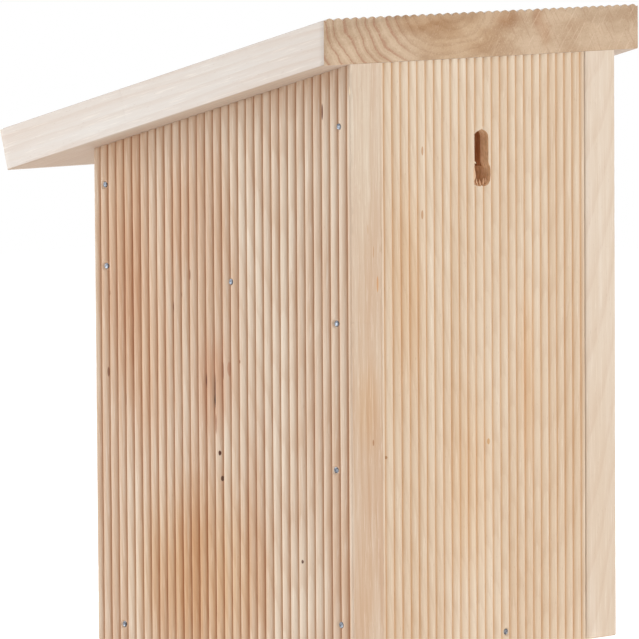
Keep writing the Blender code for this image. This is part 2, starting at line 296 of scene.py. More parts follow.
# ---------------------------------------------------------------- node helpers
class Nodes:
    """Short calls for building a material's nodes."""

    def __init__(self, name):
        self.material = bpy.data.materials.new(name)
        self.material.use_nodes = True
        self.tree = self.material.node_tree
        self.shader = self.tree.nodes["Principled BSDF"]

    def put(self, target, value):
        if isinstance(value, bpy.types.NodeSocket):
            self.tree.links.new(value, target)
        else:
            target.default_value = value

    def node(self, kind, settings=None, **inputs):
        made = self.tree.nodes.new(kind)
        for key, value in (settings or {}).items():
            setattr(made, key, value)
        for key, value in inputs.items():
            self.put(made.inputs[key.replace("_", " ")], value)
        return made

    def math(self, operation, *values):
        made = self.tree.nodes.new("ShaderNodeMath")
        made.operation = operation
        for socket, value in zip(made.inputs, values):
            self.put(socket, value)
        return made.outputs[0]

    def times(self, first, second):
        return self.math("MULTIPLY", first, second)

    def plus(self, first, second):
        return self.math("ADD", first, second)

    def vector(self, operation, *values, output=0):
        made = self.tree.nodes.new("ShaderNodeVectorMath")
        made.operation = operation
        for socket, value in zip(made.inputs, values):
            self.put(socket, value)
        return made.outputs[output]

    def noise(self, place, detail=2.0, roughness=0.5):
        made = self.node("ShaderNodeTexNoise", Vector=place, Scale=1.0, Detail=detail, Roughness=roughness)
        return made.outputs["Fac"]

    def ramp(self, value, low, high, bottom=0.0, top=1.0):
        made = self.node("ShaderNodeMapRange", {"interpolation_type": "SMOOTHSTEP"}, Value=value)
        for key, number in (("From Min", low), ("From Max", high), ("To Min", bottom), ("To Max", top)):
            made.inputs[key].default_value = number
        return made.outputs["Result"]

    def mix(self, share, first, second, blend="MIX"):
        made = self.tree.nodes.new("ShaderNodeMix")
        made.data_type = "RGBA"
        made.blend_type = blend
        made.clamp_factor = True
        self.put(made.inputs[0], share)
        self.put(made.inputs[6], first)
        self.put(made.inputs[7], second)
        return made.outputs[2]

    def attribute(self, name):
        made = self.tree.nodes.new("ShaderNodeAttribute")
        made.attribute_name = name
        return made.outputs["Fac"]

    def scaled(self, place, x, y, z, shift=0.0):
        moved = self.vector("MULTIPLY", place, (x, y, z))
        return self.vector("ADD", moved, (shift, shift * 1.7, shift * 0.6))


def rgb(red, green, blue):
    """A colour given as 0 to 255 display values, as the linear colour that nodes take."""
    linear = []
    for value in (red, green, blue):
        share = value / 255
        linear.append(share / 12.92 if share <= 0.04045 else ((share + 0.055) / 1.055) ** 2.4)
    return (*linear, 1.0)


def grain_place(n, plank):
    """Object place turned so that x is across the board, y is its depth and z runs along the grain."""
    place = n.tree.nodes.new("ShaderNodeTexCoord").outputs["Object"]
    offset = n.vector("SUBTRACT", place, tuple(plank.origin))
    parts = []
    for axis in (plank.across, -plank.out, plank.along):
        parts.append(n.vector("DOT_PRODUCT", offset, tuple(axis), output=1))
    made = n.node("ShaderNodeCombineXYZ", X=parts[0], Y=parts[1], Z=parts[2])
    return place, made.outputs[0]


def spot(n, place, centre, reach):
    """1 at the centre of an ellipsoid, falling to 0 at its reach."""
    offset = n.vector("SUBTRACT", place, centre)
    scaled = n.vector("DIVIDE", offset, reach)
    distance = n.vector("LENGTH", scaled, output=1)
    return n.ramp(distance, 0.15, 1.0, 1.0, 0.0)


# ---------------------------------------------------------------- wood
PITH = (45 * MM, 60 * MM)
PITH_LEAN_ACROSS = 0.08
PITH_LEAN_DEEP = 0.11
RING_PITCH = 3.1 * MM
RING_WANDER = 10 * MM


def long_grain(name, plank, pale, tan_colour, groove_shade, seed, tints=(), marks=(), rings=0.20,
               underside_shade=None):
    """Raw planed softwood seen along its grain: broad tone, streaks, growth lines, fibres and pores, with painted
    shade in the rib grooves and, where asked, on the underside.
    """
    n = Nodes(name)
    place, q = grain_place(n, plank)
    broad = n.noise(n.scaled(q, 38, 38, 7, seed), 2.0)
    streak = n.noise(n.scaled(q, 330, 330, 7, seed + 3), 3.0, 0.6)
    fibre = n.noise(n.scaled(q, 1900, 1900, 75, seed + 7), 2.0, 0.6)
    pore = n.noise(n.scaled(q, 2300, 2300, 420, seed + 11), 1.0)

    split = n.node("ShaderNodeSeparateXYZ", Vector=q)
    bend = n.noise(n.scaled(q, 22, 22, 4, seed + 13), 2.0)
    across, depth, along = split.outputs
    x = n.math("SUBTRACT", n.plus(across, n.times(along, PITH_LEAN_ACROSS)), PITH[0])
    y = n.math("SUBTRACT", n.plus(depth, n.times(along, PITH_LEAN_DEEP)), PITH[1])
    radius = n.math("SQRT", n.plus(n.times(x, x), n.times(y, y)))
    radius = n.plus(radius, n.times(bend, RING_WANDER))
    turns = n.math("FRACT", n.math("DIVIDE", radius, RING_PITCH))
    late = n.times(n.ramp(turns, 0.45, 0.88), n.ramp(turns, 0.90, 1.0, 1.0, 0.0))

    tone = n.plus(broad, n.times(streak, 0.6))
    tone = n.plus(tone, n.times(fibre, 0.30))
    share = n.ramp(tone, 0.60, 1.30)
    colour = n.mix(share, pale, tan_colour)
    colour = n.mix(n.times(late, rings), colour, rgb(178, 128, 84))
    colour = n.mix(n.ramp(pore, 0.68, 0.80, 0.0, 0.18), colour, rgb(150, 100, 62))
    colour = n.mix(n.ramp(fibre, 0.30, 0.42, 0.22, 0.0), colour, rgb(246, 232, 216))
    for centre, reach, tint, strength in tints:
        mask = n.times(spot(n, place, centre, reach), n.ramp(streak, 0.30, 0.62, 0.7, 1.0))
        colour = n.mix(n.times(mask, strength), colour, tint, "MULTIPLY")
    # Painted shade: the underside, within 0.6 mm of the back face, is multiplied darker.
    if underside_shade:
        under = n.ramp(depth, plank.thickness - 0.6 * MM, plank.thickness - 0.2 * MM)
        colour = n.mix(under, colour, n.mix(1.0, colour, underside_shade, "MULTIPLY"))
    # Painted shade: colour multiplied darker towards the bottom of each rib groove.
    groove_shade_share = n.math("POWER", n.attribute("groove"), 2.0)
    colour = n.mix(groove_shade_share, colour, groove_shade, "MULTIPLY")
    for centre, reach, tint, strength in marks:
        ragged = n.times(spot(n, place, centre, reach), n.ramp(fibre, 0.30, 0.55, 0.75, 1.0))
        mask = n.ramp(ragged, 0.12, 0.50)
        colour = n.mix(n.times(mask, strength), colour, tint)
    n.put(n.shader.inputs["Base Color"], colour)

    n.put(n.shader.inputs["Roughness"], n.ramp(fibre, 0.25, 0.75, 0.60, 0.82))
    n.shader.inputs["Specular IOR Level"].default_value = 0.28
    height = n.plus(n.times(fibre, 0.7), n.times(pore, -0.35))
    height = n.plus(height, n.times(late, 0.2))
    bump = n.node("ShaderNodeBump", Strength=0.5, Distance=0.00012, Height=height)
    n.put(n.shader.inputs["Normal"], bump.outputs[0])
    return n.material


def end_grain(name, plank, pale, dark, seed, pith, stretch=1.0, ring_pitch=3.4 * MM, ring_strength=0.26,
              outer_streaks=0.0, bands=()):
    """Sawn end of a board: growth rings as arcs round the pith, crossing saw marks, pores and torn fibres."""
    n = Nodes(name)
    place, q = grain_place(n, plank)
    split = n.node("ShaderNodeSeparateXYZ", Vector=q)
    across = split.outputs[0]
    depth = split.outputs[1]
    warp = n.noise(n.scaled(q, 60, 90, 3, seed), 2.0)
    blotch = n.noise(n.scaled(q, 50, 110, 5, seed + 2), 3.0)
    grit = n.noise(n.scaled(q, 1500, 1500, 300, seed + 4), 3.0, 0.65)
    x = n.math("SUBTRACT", across, pith[0])
    y = n.times(n.math("SUBTRACT", depth, pith[1]), stretch)
    radius = n.math("SQRT", n.plus(n.times(x, x), n.times(y, y)))
    bent = n.plus(radius, n.times(warp, 0.007))
    ring_place = n.node("ShaderNodeCombineXYZ", X=n.times(bent, 95), Y=0.0, Z=0.0)
    uneven = n.noise(ring_place.outputs[0], 1.0)
    bent = n.plus(bent, n.times(uneven, ring_pitch * 1.2))
    turns = n.math("FRACT", n.math("DIVIDE", bent, ring_pitch))
    late = n.times(n.ramp(turns, 0.30, 0.82), n.ramp(turns, 0.84, 1.0, 1.0, 0.0))
    colour = n.mix(n.ramp(blotch, 0.34, 0.68), pale, dark)
    torn = n.ramp(grit, 0.35, 0.60, 0.6, 1.0)
    faint = n.times(n.ramp(across, pith[0] - 46 * MM, pith[0] - 12 * MM, 0.25, 1.0), ring_strength)
    colour = n.mix(n.times(n.times(late, torn), faint), colour, rgb(142, 102, 70))

    outer = n.ramp(across, 36 * MM, 54 * MM)
    line = n.times(n.ramp(turns, 0.66, 0.82), n.ramp(turns, 0.86, 0.96, 1.0, 0.0))
    line = n.times(n.times(line, outer), torn)
    colour = n.mix(n.times(line, outer_streaks), colour, rgb(172, 122, 96))
    pale_gap = n.times(n.ramp(turns, 0.10, 0.30), n.ramp(turns, 0.34, 0.52, 1.0, 0.0))
    pale_gap = n.times(n.times(pale_gap, outer), outer_streaks * 0.35)
    colour = n.mix(pale_gap, colour, rgb(222, 198, 172))

    for centre, reach, tint, strength in bands:
        mask = n.times(spot(n, place, centre, reach), n.ramp(blotch, 0.30, 0.60, 0.6, 1.0))
        colour = n.mix(n.times(mask, strength), colour, tint, "MULTIPLY")

    for lean, low, high, tint, strength in (
        (0.62, 0.56, 0.72, rgb(160, 112, 84), 0.24),
        (-0.80, 0.58, 0.72, rgb(232, 208, 182), 0.22),
    ):
        slant = n.plus(across, n.times(depth, lean))
        along_cut = n.math("SUBTRACT", depth, n.times(across, lean))
        cut_x = n.times(slant, 750)
        cut_place = n.node("ShaderNodeCombineXYZ", X=cut_x, Y=n.times(along_cut, 70), Z=0.0)
        cut = n.noise(n.vector("ADD", cut_place.outputs[0], (seed, lean * 9, 0)), 1.0)
        fading = n.ramp(across, -18 * MM, 8 * MM, 1.0, 0.25)
        scored = n.times(n.ramp(cut, low, high, 0.0, strength), fading)
        colour = n.mix(scored, colour, tint)
    colour = n.mix(n.ramp(grit, 0.54, 0.74, 0.0, 0.30), colour, rgb(140, 98, 66))
    colour = n.mix(n.ramp(grit, 0.28, 0.44, 0.25, 0.0), colour, rgb(232, 210, 184))
    n.put(n.shader.inputs["Base Color"], colour)
    n.put(n.shader.inputs["Roughness"], n.ramp(grit, 0.25, 0.75, 0.75, 0.92))
    n.shader.inputs["Specular IOR Level"].default_value = 0.2
    bump = n.node("ShaderNodeBump", Strength=0.6, Distance=0.00018, Height=grit)
    n.put(n.shader.inputs["Normal"], bump.outputs[0])
    return n.material


def galvanised_steel():
    """Zinc on steel: dull crystals, small scuffs and a bluish cast."""
    n = Nodes("galvanised_steel_finish")
    place = n.tree.nodes.new("ShaderNodeTexCoord").outputs["Object"]
    spangle = n.node("ShaderNodeTexVoronoi", Vector=place, Scale=1400.0)
    scuff = n.noise(n.scaled(place, 2600, 900, 2600), 3.0)
    tone = n.plus(n.times(spangle.outputs["Distance"], 0.5), n.times(scuff, 0.7))
    colour = n.mix(n.ramp(tone, 0.30, 0.85), rgb(166, 170, 178), rgb(84, 88, 96))
    n.put(n.shader.inputs["Base Color"], colour)
    n.shader.inputs["Metallic"].default_value = 1.0
    n.put(n.shader.inputs["Roughness"], n.ramp(scuff, 0.3, 0.7, 0.34, 0.58))
    bump = n.node("ShaderNodeBump", Strength=0.3, Distance=0.00005, Height=scuff)
    n.put(n.shader.inputs["Normal"], bump.outputs[0])
    return n.material


# ---------------------------------------------------------------- nails and hook
def swept(name, path, sections, sides):
    """Closed round body. path is a list of (centre, tangent); sections are its radii."""
    points = []
    for (centre, tangent), radius in zip(path, sections):
        tangent = Vector(tangent).normalized()
        reference = X_AXIS if abs(tangent.x) < 0.9 else Z_AXIS
        first = reference.cross(tangent).normalized()
        second = tangent.cross(first)
        for i in range(sides):
            angle = 2 * pi * i / sides
            points.append(Vector(centre) + radius * (cos(angle) * first + sin(angle) * second))
    faces = []
    for row in range(len(path) - 1):
        for i in range(sides):
            j = (i + 1) % sides
            a = row * sides
            faces.append((a + i, a + j, a + sides + j, a + sides + i))
    faces.append(tuple(range(sides))[::-1])
    faces.append(tuple((len(path) - 1) * sides + i for i in range(sides)))
    mesh = bpy.data.meshes.new(name)
    mesh.from_pydata(points, [], faces)
    mesh.shade_smooth()
    mesh.set_sharp_from_angle(angle=radians(35))
    return mesh


def nail_mesh(name, head, direction):
    """Flat-headed wire nail: struck, slightly domed head, grip rings under it and a diamond point."""
    lean = Vector([0.10 * sin(7.1 * (i + 1) * sum(map(ord, name))) for i in range(3)])
    direction = (direction + lean - lean.dot(direction) * direction).normalized()
    head_radius = NAIL_HEAD_RADIUS * 0.97
    shank = 0.8 * MM
    stations = [(0.16, 0.30), (0.04, 0.62), (0.0, 0.80), (0.10, 0.95), (0.30, 1.0), (0.62, 1.0), (0.80, 0.93)]
    stations = [(depth * MM, share * head_radius) for depth, share in stations]
    stations += [(0.88 * MM, 0.98 * MM), (1.15 * MM, shank)]
    for ring in range(4):
        start = (2.0 + 1.1 * ring) * MM
        stations += [(start, shank), (start + 0.15 * MM, shank * 0.9), (start + 0.5 * MM, shank * 0.9)]
        stations += [(start + 0.65 * MM, shank)]
    stations += [(NAIL_LENGTH - 3.2 * MM, shank), (NAIL_LENGTH - 1.2 * MM, shank * 0.55)]
    stations += [(NAIL_LENGTH - 0.1 * MM, 0.12 * MM)]
    path = [(head + direction * depth, direction) for depth, _ in stations]
    return swept(name, path, [radius for _, radius in stations], 20)


def nail_axis(node):
    """Middle of a nail's head and its direction, from the frame."""
    low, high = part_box(node)
    middle = (low + high) / 2
    if node.startswith("roof"):
        head_y = low.y + NAIL_HEAD_RADIUS * cos(ROOF_SLOPE)
        head_z = high.z - NAIL_HEAD_RADIUS * sin(ROOF_SLOPE)
        return Vector((middle.x, head_y, head_z)), -ROOF_UP
    if node == "back_floor_nail":
        return Vector((middle.x, high.y, middle.z)), -Y_AXIS
    if node.endswith("right"):
        return Vector((high.x, middle.y, middle.z)), -X_AXIS
    return Vector((low.x, middle.y, middle.z)), X_AXIS


steel = galvanised_steel()
NAIL_NODES = sorted(node for node in frame["nodes"] if "nail" in node)
NAILS = {node: nail_axis(node) for node in NAIL_NODES}
for node, (head, direction) in NAILS.items():
    add_piece("steel_" + node, nail_mesh(node + "_fine", head, direction), [steel], node)


def heads_in(*endings, axis=None):
    found = []
    for node, (head, direction) in NAILS.items():
        if axis is not None and direction == axis and any(node.endswith(e) for e in endings):
            found.append(head)
    return found


def hook():
    """Square bend hook: threaded shank in the side board's edge, arm upright, ends rounded."""
    low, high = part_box("latch_hook")
    wire = (high.x - low.x) / 2
    x = (low.x + high.x) / 2
    arm_y = low.y + wire
    shank_z = LATCH_Z
    path = []
    radii = []
    shank_end = high.y
    for i in range(HOOK_THREAD_TURNS * 8 + 1):
        share = i / (HOOK_THREAD_TURNS * 8)
        y = shank_end - share * HOOK_THREAD
        thread = 0.86 + 0.12 * cos(2 * pi * share * HOOK_THREAD_TURNS)
        taper = min(1.0, 0.25 + share * 5)
        path.append((Vector((x, y, shank_z)), -Y_AXIS))
        radii.append(wire * thread * taper)
    path.append((Vector((x, FRONT_Y + 1 * MM, shank_z)), -Y_AXIS))
    radii.append(wire)
    for i in range(13):
        turn = pi / 2 * i / 12
        y = arm_y + HOOK_BEND * (1 - sin(turn))
        z = shank_z + HOOK_BEND * (1 - cos(turn))
        path.append((Vector((x, y, z)), -cos(turn) * Y_AXIS + sin(turn) * Z_AXIS))
        radii.append(wire)
    for drop, share in ((1.2, 1.0), (0.7, 0.93), (0.3, 0.75), (0.08, 0.45), (0.0, 0.15)):
        path.append((Vector((x, arm_y, high.z - drop * MM)), Z_AXIS))
        radii.append(wire * share)
    mesh = swept("latch_hook_fine", path, radii, 20)
    add_piece("wire_latch_hook", mesh, [steel], "latch_hook")


hook()


# ---------------------------------------------------------------- the boards' places
def top_plane(y):
    return SIDE_TOP + SEAT_REACH - (REAR_Y - y) * tan(ROOF_SLOPE)


def upright(node, across, out, width, thickness, origin, open_top=True):
    low_z, high_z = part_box(node)[0].z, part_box(node)[1].z

    def height(a, t):
        y = origin[1] + a * across[1] - t * out[1]
        return top_plane(y) if open_top else np.full_like(a, high_z)

    def foot(a, t):
        return np.full_like(a, low_z)

    return Plank(origin, across, out, (0, 0, 1), width, thickness, foot, height)


def face_width(node):
    low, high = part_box(node)
    return high.x - low.x


SIDE_RIGHT = upright("side_board_right", (0, 1, 0), (1, 0, 0), REAR_Y - FRONT_Y, BOARD,
                     (HALF_BODY, BODY_MIDDLE_Y, 0))
SIDE_LEFT = upright("side_board_left", (0, -1, 0), (-1, 0, 0), REAR_Y - FRONT_Y, BOARD,
                    (-HALF_BODY, BODY_MIDDLE_Y, 0))
BACK_SHIFT = (HALF_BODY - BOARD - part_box("back_panel")[1].x) * 0.85
FRONT_PLACE = (0, FRONT_Y, 0)
BACK = upright("back_panel", (-1, 0, 0), (0, 1, 0), face_width("back_panel"), BOARD, (BACK_SHIFT, REAR_Y, 0))
HEADER = upright("header_strip", (1, 0, 0), (0, -1, 0), face_width("header_strip"), BOARD, FRONT_PLACE)
DOOR = upright("front_door", (1, 0, 0), (0, -1, 0), face_width("front_door"), BOARD, FRONT_PLACE, False)

roof_low, roof_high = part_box("roof_board")
ROOF_THICKNESS = (roof_high.z - ROOF_REST) * cos(ROOF_SLOPE)
ROOF_LENGTH = (REAR_Y - roof_low.y - ROOF_THICKNESS * sin(ROOF_SLOPE)) / cos(ROOF_SLOPE)
roof_origin = Vector((0, REAR_Y, ROOF_REST)) + ROOF_THICKNESS * ROOF_UP
ROOF = Plank(
    roof_origin, (1, 0, 0), ROOF_UP, ROOF_DOWN, roof_high.x - roof_low.x, ROOF_THICKNESS,
    lambda a, t: -(ROOF_THICKNESS - t) * tan(ROOF_SLOPE),
    lambda a, t: np.full_like(a, ROOF_LENGTH),
)


def lying(node, out, along):
    """A plain board or batten inside the box, from its frame box."""
    low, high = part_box(node)
    middle = (low + high) / 2
    out = Vector(out)
    along = Vector(along)
    across = out.cross(along)
    size = high - low
    origin = middle + out * (abs(size.dot(out)) / 2)
    half = abs(size.dot(along)) / 2
    return Plank(origin, across, out, along, abs(size.dot(across)), abs(size.dot(out)),
                 lambda a, t: np.full_like(a, -half), lambda a, t: np.full_like(a, half))


FLOOR = lying("floor_board", (0, 0, 1), (1, 0, 0))
BRACE = lying("cross_brace", (0, 0, 1), (1, 0, 0))

# ---------------------------------------------------------------- colours
SIDE_PALE = rgb(221, 204, 184)
SIDE_TAN = rgb(200, 166, 138)
FAR_SIDE_PALE = rgb(226, 210, 193)
FAR_SIDE_TAN = rgb(216, 194, 171)
BACK_PALE = rgb(227, 208, 185)
BACK_TAN = rgb(214, 187, 158)
ROOF_PALE = rgb(217, 208, 200)
ROOF_TAN = rgb(212, 197, 185)
# Painted shade for the roof's underside.
ROOF_UNDERSIDE_SHADE = rgb(224, 212, 200)
INNER_PALE = rgb(220, 194, 162)
INNER_TAN = rgb(200, 164, 126)
# Painted shade multiplied into the rib grooves: for the side boards, and for the back, roof and inner boards.
GROOVE_SHADE_SIDE = rgb(214, 177, 145)
GROOVE_SHADE_BACK = rgb(246, 222, 194)
END_PALE = rgb(204, 177, 149)
END_DARK = rgb(187, 157, 128)
DARK_MARK = rgb(84, 48, 34)


def at(x, y, z):
    return (x * MM, y * MM, z * MM)


SIDE_FACE_X = HALF_BODY / MM
REAR_FACE_Y = REAR_Y / MM
SIDE_TINTS = [
    (at(SIDE_FACE_X, -38, 180), at(20, 24, 80), rgb(240, 210, 180), 0.45),
    (at(SIDE_FACE_X, -24, 128), at(20, 26, 80), rgb(240, 214, 192), 0.7),
    (at(SIDE_FACE_X, -4, 176), at(20, 14, 40), rgb(246, 226, 210), 0.6),
    (at(SIDE_FACE_X, 16, 108), at(12, 15, 30), rgb(232, 192, 164), 0.6),
    (at(SIDE_FACE_X, 8, 30), at(20, 60, 60), rgb(240, 209, 170), 0.8),
    (at(67, REAR_FACE_Y, 120), at(14, 4, 220), rgb(252, 246, 232), 0.25),
    (at(67, REAR_FACE_Y, 104), at(10, 4, 26), rgb(250, 233, 208), 0.55),
    (at(69, REAR_FACE_Y, 30), at(9, 4, 26), rgb(250, 238, 218), 0.2),
]
SIDE_MARKS = [
    (at(SIDE_FACE_X, 16.5, 107.5), at(3, 1.2, 9.5), rgb(112, 68, 48), 0.9),
    (at(SIDE_FACE_X, 16.4, 102.6), at(3, 1.1, 5.0), rgb(52, 26, 20), 1.0),
    (at(SIDE_FACE_X, 17.3, 93.0), at(3, 0.7, 6.0), rgb(146, 96, 70), 0.8),
    (at(SIDE_FACE_X, 11.6, 110.2), at(3, 1.1, 5.0), rgb(116, 72, 54), 0.85),
    (at(SIDE_FACE_X, 21.4, 114.6), at(3, 1.0, 5.5), rgb(140, 92, 66), 0.8),
    (at(SIDE_FACE_X, 25.0, 115.6), at(3, 1.6, 4.5), rgb(176, 124, 96), 0.6),
    (at(SIDE_FACE_X, 31.0, 118.9), at(3, 0.7, 1.1), rgb(130, 80, 54), 0.9),
    (at(SIDE_FACE_X, 19.3, 81.6), at(3, 0.9, 1.5), DARK_MARK, 1.0),
    (at(SIDE_FACE_X, 20.2, 71.4), at(3, 0.9, 1.7), DARK_MARK, 0.9),
    (at(SIDE_FACE_X, 65.9, 41.8), at(3, 0.8, 1.1), DARK_MARK, 0.9),
    (at(SIDE_FACE_X, 2.8, 152.1), at(3, 0.7, 3.2), rgb(112, 62, 40), 0.9),
    (at(SIDE_FACE_X, -2.5, 143.8), at(3, 0.8, 1.8), rgb(120, 70, 46), 0.8),
    (at(SIDE_FACE_X, -7.2, 138.6), at(3, 0.9, 4.0), rgb(116, 66, 44), 0.85),
    (at(SIDE_FACE_X, -44.1, 142.3), at(3, 0.6, 1.6), rgb(120, 70, 48), 0.8),
    (at(SIDE_FACE_X, -45.7, 110.1), at(3, 0.6, 3.0), rgb(120, 70, 48), 0.7),
    (at(SIDE_FACE_X, -35.2, 99.4), at(3, 0.6, 4.0), rgb(130, 84, 60), 0.7),
    (at(SIDE_FACE_X, 78.4, 219.9), at(3, 0.9, 4.6), rgb(104, 58, 38), 0.95),
    (at(64.2, REAR_FACE_Y, 90.0), at(0.6, 3, 1.8), rgb(170, 118, 76), 0.8),
    (at(61.4, REAR_FACE_Y, 152.2), at(0.7, 3, 4.6), rgb(206, 150, 98), 0.8),
    (at(63.6, REAR_FACE_Y, 165.0), at(0.4, 3, 3.4), rgb(190, 142, 100), 0.6),
    (at(66.6, REAR_FACE_Y, 174.0), at(0.4, 3, 3.0), rgb(196, 150, 110), 0.5),
]
BACK_TINTS = [
    (at(-24, REAR_FACE_Y, 110), at(7, 10, 60), rgb(248, 226, 200), 0.6),
    (at(10, REAR_FACE_Y, 70), at(20, 10, 60), rgb(250, 232, 208), 0.5),
    (at(44, REAR_FACE_Y, 150), at(14, 10, 70), rgb(249, 230, 206), 0.5),
]
BACK_MARKS = [
    (at(35.8, REAR_FACE_Y, 203.3), at(0.8, 3, 2.6), rgb(186, 134, 92), 0.7),
    (at(36.0, REAR_FACE_Y, 178.1), at(0.8, 3, 2.6), rgb(186, 134, 92), 0.7),
    (at(-1.3, REAR_FACE_Y, 85.4), at(0.9, 3, 1.8), rgb(206, 160, 112), 0.9),
    (at(56.5, REAR_FACE_Y, 83.5), at(0.9, 3, 1.0), rgb(170, 120, 76), 0.8),
]
ROOF_BANDS = [
    (at(34, REAR_FACE_Y, 254), at(24, 4, 7), rgb(226, 206, 184), 0.9),
    (at(12, REAR_FACE_Y, 247), at(40, 4, 16), rgb(240, 228, 212), 0.9),
    (at(-12, REAR_FACE_Y, 254), at(12, 4, 6), rgb(224, 202, 182), 0.9),
    (at(-31, REAR_FACE_Y, 253), at(5, 4, 8), rgb(222, 196, 178), 0.8),
    (at(-35, REAR_FACE_Y, 247), at(5, 4, 8), rgb(228, 204, 186), 0.7),
]

# ---------------------------------------------------------------- the boards themselves
sound_end = dict(seed=4.0, pith=(0.02, 0.03))


def make_board(node, plank, look, nails, seed, slot, end=None, **build):
    mesh = plank_mesh(node + "_fine", plank, nails, seed, **build)
    long_side = long_grain(node + "_wood", plank, seed=seed * 1.37, **look)
    cut_end = end_grain(node + "_end", plank, END_PALE, END_DARK, **(end or sound_end))
    return add_piece("wood_" + node, mesh, [long_side, cut_end], node)


side_look = dict(pale=SIDE_PALE, tan_colour=SIDE_TAN, groove_shade=GROOVE_SHADE_SIDE, rings=0.15)
far_side_look = dict(pale=FAR_SIDE_PALE, tan_colour=FAR_SIDE_TAN, groove_shade=GROOVE_SHADE_SIDE, rings=0.10)
back_look = dict(pale=BACK_PALE, tan_colour=BACK_TAN, groove_shade=GROOVE_SHADE_BACK, rings=0.10)
roof_look = dict(back_look, pale=ROOF_PALE, tan_colour=ROOF_TAN, underside_shade=ROOF_UNDERSIDE_SHADE)
inner_look = dict(pale=INNER_PALE, tan_colour=INNER_TAN, groove_shade=GROOVE_SHADE_BACK, rings=0.3)

EDGE_CHIPS = [
    (73.2 * MM, 234.0 * MM, 2.2 * MM, 0.5 * MM),
    (73.2 * MM, 229.5 * MM, 1.4 * MM, 0.4 * MM),
    (73.2 * MM, 196.0 * MM, 1.8 * MM, 0.35 * MM),
    (73.2 * MM, 188.0 * MM, 1.2 * MM, 0.3 * MM),
]
make_board("side_board_right", SIDE_RIGHT, dict(side_look, tints=SIDE_TINTS, marks=SIDE_MARKS),
           heads_in("right", axis=-X_AXIS), 3, "side_wood",
           row_step=2 * MM, chips=EDGE_CHIPS, top_soft=SEATED_EDGE)
make_board("side_board_left", SIDE_LEFT, far_side_look,
           heads_in("left", axis=X_AXIS), 11, "side_wood", top_soft=SEATED_EDGE)
back = make_board("back_panel", BACK, dict(back_look, tints=BACK_TINTS, marks=BACK_MARKS),
                  heads_in("nail", axis=-Y_AXIS), 17, "panel_wood", top_soft=SEATED_EDGE)
make_board("header_strip", HEADER, back_look, [], 23, "panel_wood", top_soft=SEATED_EDGE)
door = make_board("front_door", DOOR, back_look, [], 29, "panel_wood")
roof_end = dict(seed=8.0, pith=(19 * MM, -0.5 * MM), stretch=1.9, ring_pitch=5.6 * MM, ring_strength=0.17,
                outer_streaks=0.7, bands=ROOF_BANDS)
make_board("roof_board", ROOF, roof_look,
           heads_in("left", "right", axis=-ROOF_UP), 31, "roof_wood", end=roof_end, foot_soft=0.12 * MM)
make_board("floor_board", FLOOR, inner_look, [], 37, "inner_wood", reeded=False)
make_board("cross_brace", BRACE, inner_look, [], 41, "inner_wood", reeded=False)


# ---------------------------------------------------------------- keyhole and entrance
def prism(name, outline, y_from, y_to, material):
    count = len(outline)
    points = [(x, y, z) for y in (y_from, y_to) for x, z in outline]
    faces = [tuple(range(count)), tuple(range(count, 2 * count))[::-1]]
    for i in range(count):
        j = (i + 1) % count
        faces.append((j, i, count + i, count + j))
    mesh = bpy.data.meshes.new(name)
    mesh.from_pydata(points, [], faces)
    mesh.materials.append(material)
    return placed(name, mesh)


def cut_out(board, cutter):
    modifier = board.modifiers.new("opening", "BOOLEAN")
    modifier.operation = "DIFFERENCE"
    modifier.solver = "EXACT"
    modifier.material_mode = "TRANSFER"
    modifier.object = cutter
    bpy.context.view_layer.update()
    graph = bpy.context.evaluated_depsgraph_get()
    cut = board.evaluated_get(graph)
    made = bpy.data.meshes.new_from_object(cut, preserve_all_data_layers=True, depsgraph=graph)
    board.modifiers.clear()
    board.data = made
    bpy.data.objects.remove(cutter)


def bored_wood(name, plank, pale, dark):
    """Wall of a cut opening: brown, rough, scorched a little by the cutter."""
    n = Nodes(name)
    _, q = grain_place(n, plank)
    ring = n.noise(n.scaled(q, 260, 900, 260, 3.0), 3.0)
    grit = n.noise(n.scaled(q, 1800, 1800, 600, 5.0), 2.0)
    colour = n.mix(n.ramp(ring, 0.35, 0.65), pale, dark)
    colour = n.mix(n.ramp(grit, 0.5, 0.7, 0.0, 0.22), colour, rgb(120, 76, 48))
    n.put(n.shader.inputs["Base Color"], colour)
    n.shader.inputs["Roughness"].default_value = 0.85
    bump = n.node("ShaderNodeBump", Strength=0.6, Distance=0.0002, Height=grit)
    n.put(n.shader.inputs["Normal"], bump.outputs[0])
    return n.material


ENTRY_Z = ROOF_REST - KEYHOLE_ENTRY_DROP
SLOT_TOP = KEYHOLE_ENTRY_DROP - KEYHOLE_SLOT_DROP - KEYHOLE_SLOT_WIDTH / 2
SLOT_ROOT = 4.0 * MM
RAGGED_ENTRY = (
    (3.2, 3.6), (2.5, 2.0), (2.0, 0.4), (1.9, -1.2), (2.5, -2.6), (3.4, -3.7),
    (2.9, -4.5), (1.3, -5.0), (0.1, -4.7), (-1.3, -5.2), (-2.9, -4.7),
    (-4.2, -3.4), (-4.9, -1.6), (-5.1, 0.4), (-4.7, 2.2), (-3.9, 3.6),
)


def slot_cap(half_slot, rise):
    """Round top of the slot about the entry's centre, running from its right side to its left."""
    cap = []
    for i in range(33):
        angle = pi * i / 32
        cap.append((half_slot * cos(angle), rise + half_slot * sin(angle)))
    return cap


def smooth_run(points, steps):
    """Catmull-Rom curve through the points, ends included."""
    padded = [points[0], *points, points[-1]]
    run = []
    for i in range(1, len(padded) - 2):
        p0, p1, p2, p3 = (np.array(padded[i + k], float) for k in (-1, 0, 1, 2))
        for step in range(steps):
            u = step / steps
            run.append(0.5 * (2 * p1 + (p2 - p0) * u + (2 * p0 - 5 * p1 + 4 * p2 - p3) * u * u
                              + (3 * p1 - p0 - 3 * p2 + p3) * u**3))
    run.append(np.array(points[-1], float))
    return [(float(x), float(z)) for x, z in run]


